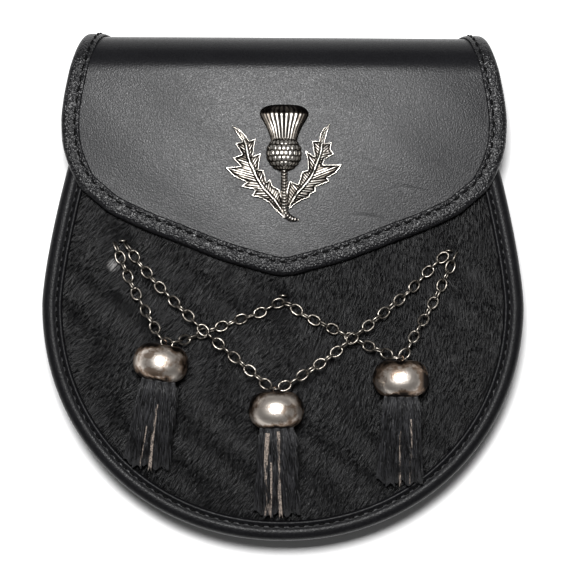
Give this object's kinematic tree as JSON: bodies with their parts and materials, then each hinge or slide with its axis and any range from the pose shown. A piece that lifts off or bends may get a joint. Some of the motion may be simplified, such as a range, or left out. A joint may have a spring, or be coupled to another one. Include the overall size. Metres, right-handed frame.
{
  "type": "sporran pouch",
  "caption": "Rounded flat leather pouch with a furred front, folded flap with a cast thistle badge, and leather tassels hung on fine chain.",
  "frame": {"origin": "middle of the pouch's outline, on the surface that it lies on", "axes": "+X to the right as one looks at the front, +Y towards the fold of the flap, +Z the way the front faces, up off the surface"},
  "size_m": [0.2, 0.2108, 0.0594],
  "materials": {
    "back_leather": "smooth black leather, matt",
    "gusset_leather": "soft black leather",
    "hair_on_hide": "short black hair on hide, combed flat",
    "binding_leather": "rolled black leather, satin",
    "flap_leather": "fine-grained black leather, satin",
    "flap_binding_leather": "pebbled black leather, satin",
    "tassel_hide": "strips of black hair-on hide with tan cut edges",
    "antique_silver": "antiqued silver plate, dark in its recesses",
    "gunmetal_chain": "darkened silver wire"
  },
  "bodies": {
    "root": {"back_panel": "back_leather", "back_rim": "binding_leather", "gusset": "gusset_leather", "front_panel": "hair_on_hide", "front_binding": "binding_leather", "flap": "flap_leather", "flap_binding": "flap_binding_leather", "flap_stud": "antique_silver", "thistle_badge": "antique_silver", "tassel_head_left": "antique_silver", "tassel_head_center": "antique_silver", "tassel_head_right": "antique_silver", "tassel_left": "tassel_hide", "tassel_center": "tassel_hide", "tassel_right": "tassel_hide", "staple_left": "antique_silver", "staple_center": "antique_silver", "staple_right": "antique_silver", "chain_swag": "gunmetal_chain", "chain_drop": "gunmetal_chain", "strap_ring_left": "antique_silver", "strap_ring_right": "antique_silver", "ring_saddle_left": "antique_silver", "ring_saddle_right": "antique_silver"}
  },
  "joints": []
}
